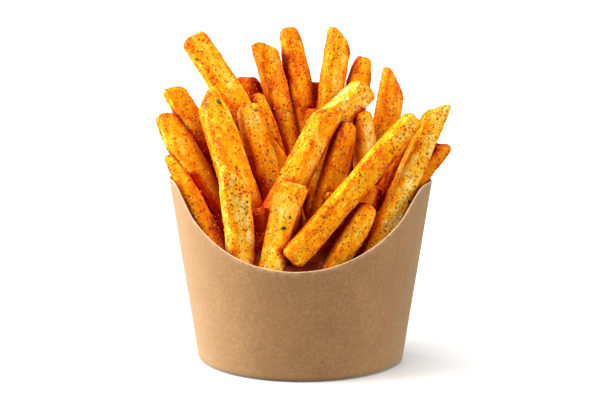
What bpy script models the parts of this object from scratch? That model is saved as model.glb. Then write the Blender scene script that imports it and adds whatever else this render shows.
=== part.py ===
"""French fries heaped in a folded kraft board carton that stands on a table.

The carton's front faces -Y and its side folds lie on X. Everything is in metres.
"""
import math
import random

import bmesh
import bpy
from mathutils import Matrix, Vector

MM = 0.001

# Board carton: two bowed panels that meet at a fold on either side and widen upwards
BOARD = 0.0006
FLOOR = 0.0011
ARC_RADIUS = 0.0422
ARC_SHIFT = 0.0090
APEX_BELOW = 0.268
PANEL_STEPS = 52

# Rim heights: the front scoop turns over into a flat shoulder, and the back is an arch
RIM_FRONT = 0.0460
RIM_SCOOP = 0.0380
RIM_SCOOP_POWER = 2.1
RIM_FOLD = 0.0750
RIM_BACK = 0.0880
RIM_BACK_POWER = 1.4
SHOULDER_START = 0.66
SHOULDER_END = 0.94

# Underside, where the front flap ends over the back one
FLAP_STEP = 0.0005
FLAP_EDGE = 0.006
FLAP_MARGIN = 0.0016
FLAP_STEPS = 24

# Core that fills the carton: its heights and how far each stands in from the board
GAP = 0.0004
CORE_PROFILE = ((0.0016, 0.0), (0.038, 0.0), (0.046, 0.007), (0.053, 0.016), (0.056, 0.026))
CORE_STEPS = 20

# The picture's viewpoint, from which the fries were read
VIEW_TURN = math.radians(4.0)
VIEW_RISE = math.radians(12.0)
VIEW_DISTANCE = 1.0
AIM = Vector((0.0, 0.0, 0.0663))

# One fry: shares of its side, and where along it the taper and the end cut start
EDGE_SHARE = 0.20
END_SHARE = 0.20
PLUMP = 1.06
TURNED_SHARE = 0.6
UNEVEN = 0.035
FLATTEST = 0.92
FULLEST = 1.04
TAPER_START = 0.35
TAPER_POWER = 5
CUT_START = 0.55
RING_SPREAD = 0.8
SEEN_RINGS = 4
HIDDEN_RINGS = 3
MERGE = 0.00002
SEED = 11

# Fries are leaned in until they clear the board, except two that hang over its rim
REACH_SHARE = 0.64
RIM_MARGIN = 0.001
LEAN_ROUNDS = 60
LEAN_STATIONS = 24
OVER_RIM = ("left rim fry", "far right fry")

# The one fry whose foot shows, so both its ends are chamfered
OPEN_FOOT = "long front fry"

# Fries that show. In millimetres of the picture plane, each has its tip and its foot as
# across, up and near, then its width as seen, its roll and end cut in degrees, the share
# of its width left at the tip, and its bow
SEEN_FRIES = (
    ("left rim fry", (-53.2, 17.9, -0.8), (-28.5, -29.5, 11.1), 7.4, 12, 0, 0.42, -1.4),
    ("left fat fry", (-54.6, 34.2, -5.0), (-19.0, -28.0, -2.0), 12.4, 24, -12, 0.60, 0.0),
    ("left straight fry", (-50.2, 44.6, -8.0), (-8.6, -26.0, -8.0), 9.6, 20, -18, 0.84, 0.0),
    ("left tall fry", (-43.1, 65.6, -15.0), (-1.0, 0.0, -14.0), 11.4, 18, 0, 0.93, 0.0),
    ("slanted fry", (-36.6, 41.8, 3.0), (-12.1, -28.0, 10.0), 12.2, 32, 33, 0.64, 0.0),
    ("front left fry", (-26.6, 10.2, 25.0), (-22.8, -30.0, 17.5), 11.8, 20, -50, 0.96, 0.0),
    ("mid left fry", (-21.0, 38.0, -6.0), (-2.9, -26.0, 1.0), 11.4, 12, 0, 0.84, 0.0),
    ("small mid fry", (-17.8, 42.0, -17.0), (0.0, -15.0, -12.0), 8.8, 20, 0, 0.74, 0.0),
    ("upper left fry", (-14.2, 61.8, -23.0), (1.4, -10.0, -21.0), 10.8, 20, -26, 0.94, -0.8),
    ("shaded back fry", (-21.8, 49.2, -34.0), (-6.0, -15.0, -26.0), 10.2, 8, -14, 0.95, 0.0),
    ("top fry", (-4.8, 69.0, -28.0), (10.2, -10.0, -22.0), 11.0, 30, 0, 0.68, 0.0),
    ("dark back fry", (5.2, 47.4, -37.0), (6.8, -15.0, -28.0), 9.4, 15, 0, 0.90, 0.0),
    ("top right fry", (15.6, 66.0, -22.0), (4.4, -10.0, -18.0), 10.6, 22, -40, 0.94, 0.0),
    ("round right fry", (25.4, 57.1, -25.0), (11.0, -15.0, -19.0), 10.8, 14, 0, 0.56, 0.0),
    ("blunt fry", (27.1, 44.9, -6.0), (5.6, 26.0, 2.0), 11.4, 26, 6, 0.90, 0.0),
    ("centre fry", (11.6, 35.8, 9.0), (-20.4, -26.0, 12.0), 11.2, 40, 16, 0.90, 0.0),
    ("behind long fry", (19.8, 31.0, 6.0), (3.4, -28.0, 8.0), 9.6, 22, 0, 0.60, 0.0),
    ("upright fry", (24.6, 35.4, -3.0), (28.3, -22.0, -3.0), 9.0, 24, 0, 0.74, 0.0),
    ("right back fry", (37.6, 48.6, -17.0), (23.6, -20.0, -12.0), 11.0, 20, -46, 0.92, 0.0),
    ("long front fry", (44.8, 34.0, 17.0), (-1.8, -23.2, 28.0), 10.8, 16, 0, 0.76, 0.6),
    ("right long fry", (55.8, 36.9, 6.0), (24.6, -30.0, 16.0), 9.4, 18, 34, 0.86, -0.4),
    ("behind right fry", (46.4, 25.0, -4.0), (18.0, -24.0, 4.0), 8.6, 14, 0, 0.86, 0.0),
    ("far right fry", (56.8, 22.1, 6.2), (27.6, -19.0, 2.3), 8.4, 20, 28, 0.90, 0.0),
    ("front right fry", (27.6, -2.4, 20.0), (9.6, -33.0, 22.0), 10.2, 24, 0, 0.66, 0.0),
    ("shaded right fry", (29.4, 5.4, 8.0), (17.0, -30.0, 10.0), 9.0, 20, 0, 0.84, 0.0),
    ("front centre fry", (-2.8, 6.8, 22.0), (-12.2, -34.0, 21.0), 11.6, -22, 0, 1.10, 0.0),
    ("shaded front fry", (-16.0, -3.2, 13.0), (-15.0, -34.0, 13.0), 9.2, 12, 0, 0.84, 0.0),
    ("deep centre fry", (14.6, -9.0, 15.0), (2.6, -31.0, 16.0), 9.2, 20, 0, 0.86, 0.0),
)

# Fries behind those, in millimetres of the carton's own axes: tip, foot, width, roll,
# end cut, share of the width left at the tip, and bow
HIDDEN_FRIES = (
    ("back left fry", (-40.0, 25.0, 95.0), (-24.0, 17.0, 42.0), 10.0, 12, 14, 0.85, 0.0),
    ("back left inner fry", (-28.0, 41.0, 100.0), (-19.0, 27.0, 42.0), 10.4, 30, -12, 0.90, 0.0),
    ("back middle fry", (-11.0, 46.0, 106.0), (-7.0, 30.0, 42.0), 10.0, 18, 6, 0.78, 0.0),
    ("back right inner fry", (18.0, 43.0, 101.0), (12.0, 28.0, 42.0), 10.2, 40, 18, 0.92, 0.0),
    ("back right fry", (31.0, 35.0, 91.0), (21.0, 23.0, 42.0), 9.6, 20, -8, 0.80, 0.0),
    ("back right outer fry", (41.0, 25.0, 89.0), (29.0, 15.0, 42.0), 10.0, 34, 10, 0.88, 0.0),
    ("right side fry", (47.0, 10.0, 84.0), (34.0, 6.0, 42.0), 9.4, 16, 0, 0.82, 0.0),
    ("left side fry", (-48.0, 11.0, 88.0), (-34.0, 8.0, 42.0), 9.8, 28, -16, 0.90, 0.0),
    ("deep left fry", (-28.0, -2.0, 64.0), (-24.0, -4.0, 40.0), 9.6, 22, 0, 0.86, 0.0),
    ("deep middle fry", (-4.0, -8.0, 76.0), (-3.0, -6.0, 40.0), 9.6, 35, 8, 0.80, 0.0),
    ("deep right fry", (14.0, -8.0, 72.0), (10.0, -6.0, 40.0), 9.4, 15, 0, 0.84, 0.0),
    ("deep far right fry", (32.0, -2.0, 72.0), (25.0, -2.0, 40.0), 9.4, 25, 12, 0.88, 0.0),
    ("back centre fry", (4.0, 30.0, 98.0), (3.0, 22.0, 42.0), 10.0, 10, 0, 0.84, 0.0),
)


# Shared helpers

def clear_scene():
    for item in list(bpy.data.objects):
        bpy.data.objects.remove(item, do_unlink=True)


def new_collection(name):
    collection = bpy.data.collections.new(name)
    bpy.context.scene.collection.children.link(collection)
    return collection


def new_object(name, bm, collection):
    bmesh.ops.recalc_face_normals(bm, faces=bm.faces)
    mesh = bpy.data.meshes.new(name)
    bm.to_mesh(mesh)
    bm.free()
    item = bpy.data.objects.new(name, mesh)
    collection.objects.link(item)
    return item


def coat(item, colour, roughness):
    """Gives the object its own plain material."""
    material = bpy.data.materials.new(item.name + " material")
    material.use_nodes = True
    shader = material.node_tree.nodes["Principled BSDF"]
    shader.inputs["Base Color"].default_value = (*colour, 1.0)
    shader.inputs["Roughness"].default_value = roughness
    shader.inputs["Metallic"].default_value = 0.0
    item.data.materials.clear()
    item.data.materials.append(material)


def apply_modifier(item, modifier):
    with bpy.context.temp_override(object=item, active_object=item):
        bpy.ops.object.modifier_apply(modifier=modifier.name)


def discard(collection):
    """Removes the guide objects that a Boolean has used up."""
    for item in list(collection.objects):
        bpy.data.objects.remove(item, do_unlink=True)
    bpy.data.collections.remove(collection)


# Carton

def wall_point(share, z, front, inset):
    """A point of the wall: share runs from one side fold at -1 to the other at 1."""
    growth = 1.0 + z / APEX_BELOW
    radius = ARC_RADIUS * growth - inset
    angle = share * math.acos(ARC_SHIFT * growth / radius)
    out = radius * math.cos(angle) - ARC_SHIFT * growth
    return Vector((radius * math.sin(angle), -out if front else out, z))


def front_rim(share):
    """Scooped front edge that turns over into a flat shoulder beside each fold."""
    scoop = RIM_FRONT + RIM_SCOOP * abs(share) ** RIM_SCOOP_POWER
    turn = (abs(share) - SHOULDER_START) / (SHOULDER_END - SHOULDER_START)
    turn = min(1.0, max(0.0, turn))
    turn = turn * turn * (3.0 - 2.0 * turn)
    return scoop + (RIM_FOLD - scoop) * turn


def back_rim(share):
    """Back edge, a low arch between the folds."""
    arch = max(0.0, math.cos(share * math.pi / 2.0)) ** RIM_BACK_POWER
    return RIM_FOLD + (RIM_BACK - RIM_FOLD) * arch


def around(steps):
    """Walks the outline once: share and whether the front panel is meant."""
    front = [(-1.0 + 2.0 * i / steps, True) for i in range(steps)]
    back = [(1.0 - 2.0 * i / steps, False) for i in range(steps)]
    return front + back


def loft(bm, rings):
    """Joins each closed ring to the next with quads."""
    for low, high in zip(rings, rings[1:]):
        for i in range(len(low)):
            j = (i + 1) % len(low)
            bm.faces.new((low[i], low[j], high[j], high[i]))


def make_walls(collection):
    """Lofts the board up its outside, over the rim and down its inside."""
    bm = bmesh.new()
    rings = [[], [], [], []]
    for share, front in around(PANEL_STEPS):
        top = front_rim(share) if front else back_rim(share)
        rings[0].append(bm.verts.new(wall_point(share, 0.0, front, 0.0)))
        rings[1].append(bm.verts.new(wall_point(share, top, front, 0.0)))
        rings[2].append(bm.verts.new(wall_point(share, top, front, BOARD)))
        rings[3].append(bm.verts.new(wall_point(share, FLOOR, front, BOARD)))
    loft(bm, rings)
    bm.faces.new(reversed(rings[0]))
    bm.faces.new(rings[3])
    return new_object("carton", bm, collection)


def make_flap_cutter(collection):
    """Raises the back of the underside by one board, where the front flap ends."""
    bm = bmesh.new()
    shares = [-1.0 + 2.0 * i / FLAP_STEPS for i in range(FLAP_STEPS + 1)]
    edge = [wall_point(share, 0.0, False, FLAP_MARGIN) for share in shares]
    edge = [point for point in edge if point.y > FLAP_EDGE]
    face = bm.faces.new([bm.verts.new((point.x, point.y, -FLAP_STEP)) for point in edge])
    grown = bmesh.ops.extrude_face_region(bm, geom=[face])
    lifted = [v for v in grown["geom"] if isinstance(v, bmesh.types.BMVert)]
    bmesh.ops.translate(bm, vec=(0.0, 0.0, 2.0 * FLAP_STEP), verts=lifted)
    cutter = new_object("flap cutter", bm, collection)
    cutter.hide_render = True
    cutter.display_type = "WIRE"
    return cutter


def make_carton(collection):
    cutters = new_collection("cutters")
    carton = make_walls(collection)
    cut = carton.modifiers.new("flap step", "BOOLEAN")
    cut.operation = "DIFFERENCE"
    cut.object = make_flap_cutter(cutters)
    apply_modifier(carton, cut)
    discard(cutters)
    coat(carton, (0.46, 0.29, 0.16), 0.85)


# Fries

def seen(across, up, near):
    """Turns a place in the picture, and how near it is, into the carton's axes."""
    right = Vector((math.cos(VIEW_TURN), math.sin(VIEW_TURN), 0.0))
    rise = math.sin(VIEW_RISE)
    level = math.cos(VIEW_RISE)
    towards = Vector((math.sin(VIEW_TURN) * level, -math.cos(VIEW_TURN) * level, rise))
    upwards = Vector((-math.sin(VIEW_TURN) * rise, math.cos(VIEW_TURN) * rise, level))
    shrink = (VIEW_DISTANCE - near * MM) / VIEW_DISTANCE
    return AIM + (right * across + upwards * up) * MM * shrink + towards * near * MM


def beyond_wall(point, reach):
    """How far a bar of this reach stands into the board, and the way back inside."""
    growth = 1.0 + point.z / APEX_BELOW
    fold = math.acos(ARC_SHIFT / ARC_RADIUS)
    worst = 0.0
    way = Vector((0.0, 0.0, 0.0))
    for front in (True, False):
        facing = -1.0 if front else 1.0
        arm = Vector((point.x, point.y + facing * ARC_SHIFT * growth, 0.0))
        excess = arm.length + reach + GAP + BOARD - ARC_RADIUS * growth
        share = math.atan2(arm.x, arm.y * facing) / fold
        share = max(-1.0, min(1.0, share))
        rim = front_rim(share) if front else back_rim(share)
        if excess > worst and point.z < rim + RIM_MARGIN:
            worst = excess
            way = -arm.normalized()
    return worst, way


def lean_in(foot, tip, reach):
    """Shifts a bar's ends until none of it stands in the board."""
    for _ in range(LEAN_ROUNDS):
        settled = True
        for i in range(LEAN_STATIONS + 1):
            t = i / LEAN_STATIONS
            excess, way = beyond_wall(foot.lerp(tip, t), reach)
            if excess > 0.0:
                settled = False
                foot = foot + way * excess * (1.0 - t)
                tip = tip + way * excess * t
        if settled:
            break
    return foot, tip


def bar(length, side, rings, open_foot, rng):
    """A potato bar along Z from its foot, its long edges and its tip chamfered."""
    bm = bmesh.new()
    bmesh.ops.create_cube(bm, size=1.0)
    bmesh.ops.translate(bm, vec=(0.0, 0.0, 0.5), verts=bm.verts)
    depth = side * rng.uniform(FLATTEST, FULLEST)
    bmesh.ops.scale(bm, vec=(side, depth, length), verts=bm.verts)
    long_edges = [e for e in bm.edges if abs(e.verts[0].co.z - e.verts[1].co.z) > MERGE]
    bmesh.ops.bevel(bm, geom=long_edges, offset=side * EDGE_SHARE, segments=1, affect="EDGES")
    for end in (0.0, length) if open_foot else (length,):
        end_edges = [e for e in bm.edges if all(abs(v.co.z - end) < MERGE for v in e.verts)]
        bmesh.ops.bevel(bm, geom=end_edges, offset=side * END_SHARE, segments=1, affect="EDGES")
    for i in range(1, rings):
        everything = bm.verts[:] + bm.edges[:] + bm.faces[:]
        level = Vector((0.0, 0.0, length * (i / rings) ** RING_SPREAD))
        bmesh.ops.bisect_plane(bm, geom=everything, plane_co=level, plane_no=(0, 0, 1))
    return bm


def wear(bm, length, side, cut, taper, bow, rings, rng):
    """Tapers, bows and slants the bar, and makes it slightly uneven."""
    shakes = [Vector((rng.uniform(-1, 1), rng.uniform(-1, 1), 0)) for _ in range(rings + 1)]
    for v in bm.verts:
        t = v.co.z / length
        towards_tip = max(0.0, t - TAPER_START) / (1.0 - TAPER_START)
        thin = 1.0 - (1.0 - taper) * towards_tip ** TAPER_POWER
        slant = math.tan(cut) * v.co.x * max(0.0, t - CUT_START) / (1.0 - CUT_START)
        shake = shakes[min(rings, round(t * rings))] * UNEVEN * side
        v.co.x = v.co.x * thin + shake.x + bow * 4.0 * t * (1.0 - t)
        v.co.y = v.co.y * thin + shake.y
        v.co.z -= slant


def stand(bm, foot, tip, roll, facing):
    """Turns the bar from Z to lie between its foot and tip, one flat side facing out."""
    along = (tip - foot).normalized()
    side = along.cross(-facing).normalized()
    depth = along.cross(side)
    turn = Matrix((side, depth, along)).transposed().to_4x4()
    bm.transform(Matrix.Translation(foot) @ turn @ Matrix.Rotation(roll, 4, "Z"))


def make_fry(name, tip, foot, shape, facing, rings, rng, pile):
    width, roll, cut, taper, bow = shape
    roll = math.radians(roll)
    side = PLUMP * width * MM / (abs(math.cos(roll)) + TURNED_SHARE * abs(math.sin(roll)))
    if name not in OVER_RIM:
        foot, tip = lean_in(foot, tip, side * REACH_SHARE)
    length = (tip - foot).length
    bm = bar(length, side, rings, name == OPEN_FOOT, rng)
    wear(bm, length, side, math.radians(cut), taper, bow * MM, rings, rng)
    stand(bm, foot, tip, roll, facing)
    new_object(name, bm, pile)


def make_core(collection):
    """Fills the carton below the fries, clear of its board."""
    bm = bmesh.new()
    rings = []
    for z, inset in CORE_PROFILE:
        reach = BOARD + GAP + inset
        points = [wall_point(share, z, front, reach) for share, front in around(CORE_STEPS)]
        rings.append([bm.verts.new(point) for point in points])
    loft(bm, rings)
    bm.faces.new(reversed(rings[0]))
    bm.faces.new(rings[-1])
    return new_object("fries", bm, collection)


def islands_of(bm):
    """Splits the mesh's vertices into the groups that edges connect."""
    left = set(bm.verts)
    islands = []
    while left:
        queue = [left.pop()]
        island = set(queue)
        while queue:
            for edge in queue.pop().link_edges:
                fresh = [v for v in edge.verts if v in left]
                left.difference_update(fresh)
                island.update(fresh)
                queue.extend(fresh)
        islands.append(island)
    return islands


def keep_outer_skin(item):
    """Drops the sealed hollows and loose scraps that the union leaves."""
    bm = bmesh.new()
    bm.from_mesh(item.data)
    scraps = sorted(islands_of(bm), key=len)[:-1]
    for scrap in scraps:
        bmesh.ops.delete(bm, geom=list(scrap), context="VERTS")
    bmesh.ops.remove_doubles(bm, verts=bm.verts, dist=MERGE)
    bmesh.ops.dissolve_degenerate(bm, edges=bm.edges, dist=MERGE)
    bm.to_mesh(item.data)
    bm.free()


def make_fries(collection):
    rng = random.Random(SEED)
    pile = new_collection("single fries")
    viewer = (seen(0.0, 0.0, 1.0) - AIM).normalized()
    for name, tip, foot, *shape in SEEN_FRIES:
        make_fry(name, seen(*tip), seen(*foot), shape, viewer, SEEN_RINGS, rng, pile)
    behind = Vector((0.0, 1.0, 0.0))
    for name, tip, foot, *shape in HIDDEN_FRIES:
        tip = Vector(tip) * MM
        foot = Vector(foot) * MM
        make_fry(name, tip, foot, shape, behind, HIDDEN_RINGS, rng, pile)
    fries = make_core(collection)
    join = fries.modifiers.new("fries", "BOOLEAN")
    join.operation = "UNION"
    join.operand_type = "COLLECTION"
    join.collection = pile
    apply_modifier(fries, join)
    discard(pile)
    keep_outer_skin(fries)
    coat(fries, (0.82, 0.42, 0.05), 0.6)


def build():
    clear_scene()
    collection = new_collection("french fries in a carton")
    make_carton(collection)
    make_fries(collection)


build()
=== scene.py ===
"""Seasoned french fries heaped in a folded kraft board carton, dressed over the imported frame.

The carton's front faces -Y and its side folds lie on X. Everything is in metres.
"""
import math
import random
from collections import namedtuple

import bpy
import numpy as np
from mathutils import Matrix, Vector, noise
from mathutils.bvhtree import BVHTree


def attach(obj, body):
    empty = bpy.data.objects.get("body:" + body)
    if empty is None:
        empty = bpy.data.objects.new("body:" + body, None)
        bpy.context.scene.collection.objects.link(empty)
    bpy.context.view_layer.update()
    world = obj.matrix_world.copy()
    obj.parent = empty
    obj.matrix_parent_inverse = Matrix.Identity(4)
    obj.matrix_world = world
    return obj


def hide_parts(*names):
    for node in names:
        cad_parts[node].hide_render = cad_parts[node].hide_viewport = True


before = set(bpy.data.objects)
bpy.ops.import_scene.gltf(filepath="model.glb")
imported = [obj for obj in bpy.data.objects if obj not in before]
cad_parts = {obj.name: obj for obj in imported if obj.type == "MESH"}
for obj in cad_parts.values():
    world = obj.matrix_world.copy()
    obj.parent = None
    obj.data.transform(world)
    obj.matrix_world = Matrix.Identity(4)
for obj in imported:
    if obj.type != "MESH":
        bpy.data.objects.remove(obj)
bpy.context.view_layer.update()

MM = 0.001

# Viewpoint of the picture
VIEW_TURN = math.radians(4.0)
VIEW_RISE = math.radians(12.0)
VIEW_DISTANCE = 1.0
VIEW_WIDTH = 0.240
SENSOR = 36.0
AIM = Vector((0.0, 0.0, 0.0663))

# Board carton, as the solid has it
BOARD = 0.0006
FLOOR = 0.0011
ARC_RADIUS = 0.0422
ARC_SHIFT = 0.0090
APEX_BELOW = 0.268
RIM_FRONT = 0.0460
RIM_SCOOP = 0.0380
RIM_SCOOP_POWER = 2.1
RIM_FOLD = 0.0750
RIM_BACK = 0.0880
RIM_BACK_POWER = 1.4
SHOULDER_START = 0.66
SHOULDER_END = 0.94
FLAP_STEP = 0.0005
FLAP_EDGE = 0.006
FLAP_MARGIN = 0.0016

# How finely the carton is made. Along a panel a place is a share: 0 is the panel's middle,
# and -1 and 1 are its side folds
PANEL_STEPS = 150
WALL_ROWS = 34
RIM_TURNS = 5
BASE_TURNS = 7

# Small relief that card has
BASE_ROUND = 0.0018
EDGE_ROUND = 0.00022
CREASE_REACH = 0.020
CREASE_DEPTH = 0.00016
CREASE_SHARPNESS = 6.0
CARD_WAVE = 0.00012
CARD_WAVES_PER_METRE = 38.0
CARD_WAVE_FROM = 0.008
CUT_WAVE = 0.00006
CUT_WAVES = 60.0
LAP_FROM = 0.30
LAP_TO = 0.46
LAP_STEP = 0.004
LAP_FADE = 0.05
LAP_RAISE = 0.00035

# How far the board is rubbed pale from its cut edge and its side folds, how far up from
# what it stands on its foot is painted dark as a contact shadow, and how much of that
# painted shadow the underside takes
RUB_REACH = 0.0010
FOLD_REACH = 0.010
CONTACT_SHADE_REACH = 0.0011
UNDERSIDE_CONTACT_SHADE = 0.15

# Fill under the fries: its outline as height and inset from the wall, and its lumps
GAP = 0.0004
CORE_PROFILE = ((0.0016, 0.0), (0.038, 0.0), (0.046, 0.007), (0.053, 0.016), (0.056, 0.026))
CORE_CROWN = ((0.0563, 0.031), (0.0565, 0.036))
CORE_STEPS = 90
CORE_ROWS = 8
CORE_LUMP = 0.0011
CORE_LUMPS_PER_METRE = 260.0
CORE_SMOOTH_TO = 0.036

# Form of the fries, worked out as for the solid
PLUMP = 1.06
TURNED_SHARE = 0.6
UNEVEN = 0.035
FLATTEST = 0.92
FULLEST = 1.04
TAPER_START = 0.35
TAPER_POWER = 5
CUT_START = 0.55
SEEN_RINGS = 4
HIDDEN_RINGS = 3
SEED = 11
REACH_SHARE = 0.64
RIM_MARGIN = 0.001
LEAN_ROUNDS = 60
LEAN_STATIONS = 24
OVER_RIM = ("left rim", "far right")

# Fries that show. In millimetres of the picture plane, each has its tip and its foot as
# across, up and near, then its width as seen, its roll and end cut in degrees, the share
# of its width left at the tip, its bow, how toasted it is, which for fries that lie in
# shade is set darker as painted shade, and how thickly its front and its left side are
# dusted with spice
SEEN_FRIES = (
    ("left rim", (-53.2, 17.9, -0.8), (-28.5, -29.5, 11.1), 7.4, 12, 0, 0.42, -1.4, 0.48, 0.5, 0.7),
    ("left fat", (-54.6, 34.2, -5.0), (-19.0, -28.0, -2.0), 12.4, 24, -12, 0.60, 0.0, 0.40, 0.3, 0.4),
    ("left straight", (-50.9, 44.8, -8.0), (-8.8, -26.0, -8.0), 10.4, 20, -18, 0.84, 0.0, 0.24, 0.6, 0.4),
    ("left tall", (-43.1, 65.6, -15.0), (-1.0, 0.0, -14.0), 11.4, 18, 0, 0.93, 0.0, 0.28, 0.4, 0.8),
    ("slanted", (-37.6, 41.8, 3.0), (-12.1, -28.0, 10.0), 12.6, 32, 33, 0.64, 0.0, 0.34, 0.6, 0.9),
    ("front left", (-26.6, 10.2, 25.0), (-22.8, -30.0, 17.5), 11.8, 20, -50, 0.96, 0.0, 0.02, 0.5, 0.9),
    ("mid left", (-21.0, 38.0, -6.0), (-2.9, -26.0, 1.0), 11.4, 12, 0, 0.84, 0.0, 0.14, 0.6, 0.4),
    ("small mid", (-17.8, 42.0, -17.0), (0.0, -15.0, -12.0), 8.8, 20, 0, 0.74, 0.0, 0.55, 0.6, 0.5),
    ("upper left", (-14.2, 61.8, -23.0), (1.4, -10.0, -21.0), 10.8, 20, -26, 0.94, -0.8, 0.45, 0.7, 0.6),
    ("shaded back", (-21.8, 49.2, -34.0), (-6.0, -15.0, -26.0), 10.2, 8, -14, 0.95, 0.0, 0.95, 0.3, 0.3),
    ("top", (-4.8, 69.0, -28.0), (10.2, -10.0, -22.0), 11.0, 30, 0, 0.68, 0.0, 0.50, 0.7, 0.4),
    ("dark back", (5.2, 47.4, -37.0), (6.8, -15.0, -28.0), 9.4, 15, 0, 0.90, 0.0, 0.85, 0.5, 0.5),
    ("top right", (15.6, 66.0, -22.0), (4.4, -10.0, -18.0), 10.6, 22, -40, 0.94, 0.0, 0.38, 0.4, 0.7),
    ("round right", (25.4, 57.1, -25.0), (11.0, -15.0, -19.0), 10.8, 14, 0, 0.56, 0.0, 0.32, 0.2, 0.3),
    ("blunt", (27.1, 44.9, -6.0), (5.6, 26.0, 2.0), 11.4, 26, 6, 0.90, 0.0, -0.02, 0.6, 0.5),
    ("centre", (11.6, 35.8, 9.0), (-20.4, -26.0, 12.0), 11.2, 40, 28, 0.90, 0.0, 0.38, 0.2, 1.0),
    ("behind long", (19.3, 31.0, 6.0), (2.9, -28.0, 8.0), 10.2, 22, 0, 0.60, 0.0, 0.45, 0.3, 0.3),
    ("upright", (24.6, 35.4, -3.0), (28.3, -22.0, -3.0), 9.0, 24, 0, 0.74, 0.0, -0.08, 0.3, 0.6),
    ("right back", (37.6, 48.6, -17.0), (23.6, -20.0, -12.0), 11.0, 20, -46, 0.92, 0.0, 0.34, 0.7, 0.5),
    ("long front", (46.2, 32.9, 17.0), (-3.6, -24.6, 28.0), 10.0, 16, 0, 0.80, 0.2, 0.44, 0.6, 0.5),
    ("right long", (55.8, 36.9, 6.0), (24.6, -30.0, 16.0), 9.4, 18, 42, 0.86, -0.4, 0.02, 0.6, 0.7),
    ("behind right", (46.4, 25.0, -4.0), (18.0, -24.0, 4.0), 8.6, 14, 0, 0.86, 0.0, 0.70, 0.4, 0.4),
    ("far right", (56.8, 22.1, 6.2), (27.6, -19.0, 2.3), 8.4, 20, 28, 0.90, 0.0, 0.62, 0.3, 0.3),
    ("front right", (27.6, -2.4, 20.0), (9.6, -33.0, 22.0), 10.2, 24, 0, 0.60, 0.0, 0.02, 0.4, 0.6),
    ("shaded right", (29.4, 5.4, 8.0), (17.0, -30.0, 10.0), 9.0, 20, 0, 0.84, 0.0, 0.55, 0.3, 0.3),
    ("front centre", (-2.8, 6.8, 22.0), (-12.2, -34.0, 21.0), 11.6, -22, 0, 1.10, 0.0, 0.17, 0.4, 0.7),
    ("shaded front", (-16.0, -3.2, 13.0), (-15.0, -34.0, 13.0), 9.2, 12, 0, 0.84, 0.0, 0.50, 0.6, 0.6),
    ("deep centre", (14.6, -9.0, 15.0), (2.6, -31.0, 16.0), 9.2, 20, 0, 0.86, 0.0, 0.60, 0.3, 0.3),
)

# Fries behind those, in millimetres of the carton's own axes: tip, foot, width, roll,
# end cut and share of the width left at the tip. None of them is bowed
HIDDEN_FRIES = (
    ("back left", (-40.0, 25.0, 95.0), (-24.0, 17.0, 42.0), 10.0, 12, 14, 0.85),
    ("back left inner", (-28.0, 41.0, 100.0), (-19.0, 27.0, 42.0), 10.4, 30, -12, 0.90),
    ("back middle", (-11.0, 46.0, 106.0), (-7.0, 30.0, 42.0), 10.0, 18, 6, 0.78),
    ("back right inner", (18.0, 43.0, 101.0), (12.0, 28.0, 42.0), 10.2, 40, 18, 0.92),
    ("back right", (31.0, 35.0, 91.0), (21.0, 23.0, 42.0), 9.6, 20, -8, 0.80),
    ("back right outer", (41.0, 25.0, 89.0), (29.0, 15.0, 42.0), 10.0, 34, 10, 0.88),
    ("right side", (47.0, 10.0, 84.0), (34.0, 6.0, 42.0), 9.4, 16, 0, 0.82),
    ("left side", (-48.0, 11.0, 88.0), (-34.0, 8.0, 42.0), 9.8, 28, -16, 0.90),
    ("deep left", (-28.0, -2.0, 64.0), (-24.0, -4.0, 40.0), 9.6, 22, 0, 0.86),
    ("deep middle", (-4.0, -8.0, 76.0), (-3.0, -6.0, 40.0), 9.6, 35, 8, 0.80),
    ("deep right", (14.0, -8.0, 72.0), (10.0, -6.0, 40.0), 9.4, 15, 0, 0.84),
    ("deep far right", (32.0, -2.0, 72.0), (25.0, -2.0, 40.0), 9.4, 25, 12, 0.88),
    ("back centre", (4.0, 30.0, 98.0), (3.0, 22.0, 42.0), 10.0, 10, 0, 0.84),
)

# Each fry's skin: points around it, rings along it, and its rounding
SKIN_AROUND = 56
SKIN_ALONG = 84
END_ROUND = 0.23
END_RINGS = 7
CAP_SHARES = (0.15, 0.45, 0.75)
SQUARENESS = (3.0, 4.6)
SUNK_FACES = (-0.004, 0.022)

# Relief of the skin: wave length and height in millimetres, coarse to fine
SKIN_WAVES = ((9.0, 0.40), (3.4, 0.30), (1.5, 0.20))
STRETCH = 0.42
ROUGHER_ENDS = 0.9
PATTERN_RANGE = 400.0

# What the skin carries: where it counts as an edge, how far its ends are browned in
# millimetres, and the toasting and dusting of what the picture doesn't show
CORNER_POWER = 6
CAP_EDGE = 5.0
TIP_BROWN = 3.0
FOOT_BROWN = 2.5
FOOT_BROWN_SHARE = 0.8
RIGHT_DUST = (0.2, 0.7)
BACK_DUST = (0.3, 0.7)
HIDDEN_TOAST = (0.2, 0.6)
HIDDEN_DUST = (0.3, 0.7)

# Shade painted into the gaps between fries, from how much of the sky other fries hide: how
# near fries count, how many rays look for them and how far off the skin they start, and on
# which rings and on how many sides it is worked out
GAP_SHADE_REACH = 0.022
GAP_SHADE_RAYS = 24
GAP_SHADE_START = 0.0007
GAP_SHADE_RINGS = 4
GAP_SHADE_SIDES = 8

# Spice that is easy to see, in millimetres of the picture plane: across, up and its size
HERB_SPOTS = ((-32.4, 39.2, 3.2), (-6.4, -11.2, 2.2), (-4.0, -6.8, 1.6), (9.6, -6.8, 1.3),
              (24.0, 10.0, 1.9), (-21.2, -0.8, 1.3), (-7.6, 7.2, 1.4), (8.0, 8.0, 1.3))
PEPPER_SPOTS = ((-25.6, 8.0, 0.42), (-28.8, 28.0, 0.42), (48.4, 22.4, 0.42),
                (15.2, 60.6, 0.42), (-42.0, 26.6, 0.42))

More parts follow.
